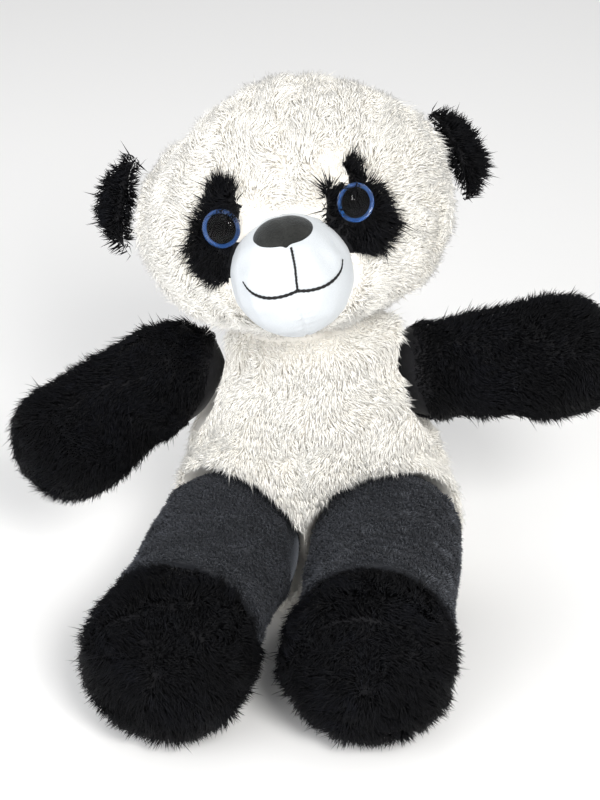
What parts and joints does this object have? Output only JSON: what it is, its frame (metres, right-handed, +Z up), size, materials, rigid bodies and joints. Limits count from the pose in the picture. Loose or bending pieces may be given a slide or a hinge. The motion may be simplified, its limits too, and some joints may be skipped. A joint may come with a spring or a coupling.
{
  "type": "plush panda",
  "caption": "Seated plush panda with a large tilted head, smooth round muzzle, blue-ringed eyes, and ears, arms, legs and head that move on sewn joints.",
  "frame": {"origin": "centre of the flat seat panel that the panda sits on", "axes": "+Z up through the crown, the panda looks along -Y, and its own left side is +X"},
  "size_m": [0.3175, 0.2288, 0.2838],
  "materials": {
    "white_fur": "soft long pile, warm white",
    "black_fur": "soft long pile, blue-black",
    "grey_plush": "short pile, speckled charcoal",
    "velour": "smooth napped knit, cool white",
    "nose_felt": "matt napped cloth, charcoal",
    "black_thread": "stranded embroidery thread",
    "white_thread": "heavy sewing thread",
    "filling": "loose polyester fibre",
    "clear_lens": "clear polished plastic",
    "blue_iris": "glossy blue",
    "black_plastic": "glossy black"
  },
  "bodies": {
    "torso": {"belly_left": "white_fur", "belly_right": "white_fur", "back_left": "white_fur", "back_right": "white_fur", "seat_panel": "white_fur", "torso_filling": "filling"},
    "neck": {"neck_thread": "white_thread"},
    "head": {"face_left": "white_fur", "face_right": "white_fur", "head_back_left": "white_fur", "head_back_right": "white_fur", "eye_patch_left": "black_fur", "eye_patch_right": "black_fur", "head_filling": "filling", "muzzle_left": "velour", "muzzle_right": "velour", "muzzle_filling": "filling", "nose_patch": "nose_felt", "mouth_seam": "black_thread", "mouth_left": "black_thread", "mouth_right": "black_thread", "eye_left_lens": "clear_lens", "eye_left_iris": "blue_iris", "eye_left_pupil": "black_plastic", "eye_left_post": "black_plastic", "eye_left_washer": "black_plastic", "eye_right_lens": "clear_lens", "eye_right_iris": "blue_iris", "eye_right_pupil": "black_plastic", "eye_right_post": "black_plastic", "eye_right_washer": "black_plastic"},
    "ear_left": {"ear_left_front": "black_fur", "ear_left_back": "black_fur"},
    "ear_right": {"ear_right_front": "black_fur", "ear_right_back": "black_fur"},
    "arm_left": {"arm_left_front": "black_fur", "arm_left_back": "black_fur", "arm_left_filling": "filling"},
    "arm_right": {"arm_right_front": "black_fur", "arm_right_back": "black_fur", "arm_right_filling": "filling"},
    "leg_left": {"leg_left_top": "grey_plush", "leg_left_under": "grey_plush", "leg_left_filling": "filling", "foot_left_upper": "black_fur", "foot_left_sole": "black_fur", "foot_left_filling": "filling"},
    "leg_right": {"leg_right_top": "grey_plush", "leg_right_under": "grey_plush", "leg_right_filling": "filling", "foot_right_upper": "black_fur", "foot_right_sole": "black_fur", "foot_right_filling": "filling"}
  },
  "joints": [
    {"name": "neck_turn", "type": "hinge", "parent": "torso", "child": "neck", "pos_m": [0, -0.012, 0.14], "axis": [0, 0, 1], "range_deg": [-22, 22]},
    {"name": "neck_nod", "type": "hinge", "parent": "neck", "child": "head", "pos_m": [0, -0.012, 0.14], "axis": [1, 0, 0], "range_deg": [-12, 8]},
    {"name": "ear_left_fold", "type": "hinge", "parent": "head", "child": "ear_left", "pos_m": [0.06649, -0.00086, 0.23267], "axis": [-0.1407, 0.2644, 0.9541], "range_deg": [-16, 16], "stiffness_Nm_per_rad": 0.01},
    {"name": "ear_right_fold", "type": "hinge", "parent": "head", "child": "ear_right", "pos_m": [-0.07985, -0.01367, 0.21463], "axis": [-0.1407, 0.2644, 0.9541], "range_deg": [-16, 16], "stiffness_Nm_per_rad": 0.01},
    {"name": "shoulder_left", "type": "hinge", "parent": "torso", "child": "arm_left", "pos_m": [0.068, -0.016, 0.127], "axis": [0, -1, 0], "range_deg": [-34, 20]},
    {"name": "shoulder_right", "type": "hinge", "parent": "torso", "child": "arm_right", "pos_m": [-0.068, -0.016, 0.127], "axis": [-0.2756, 0.9613, 0], "range_deg": [-4, 50]},
    {"name": "hip_left", "type": "hinge", "parent": "torso", "child": "leg_left", "pos_m": [0.044, -0.05, 0.045], "axis": [0.9903, -0.1392, 0], "range_deg": [-20, 22]},
    {"name": "hip_right", "type": "hinge", "parent": "torso", "child": "leg_right", "pos_m": [-0.04, -0.05, 0.045], "axis": [0.9703, -0.2419, 0], "range_deg": [-20, 22]}
  ]
}
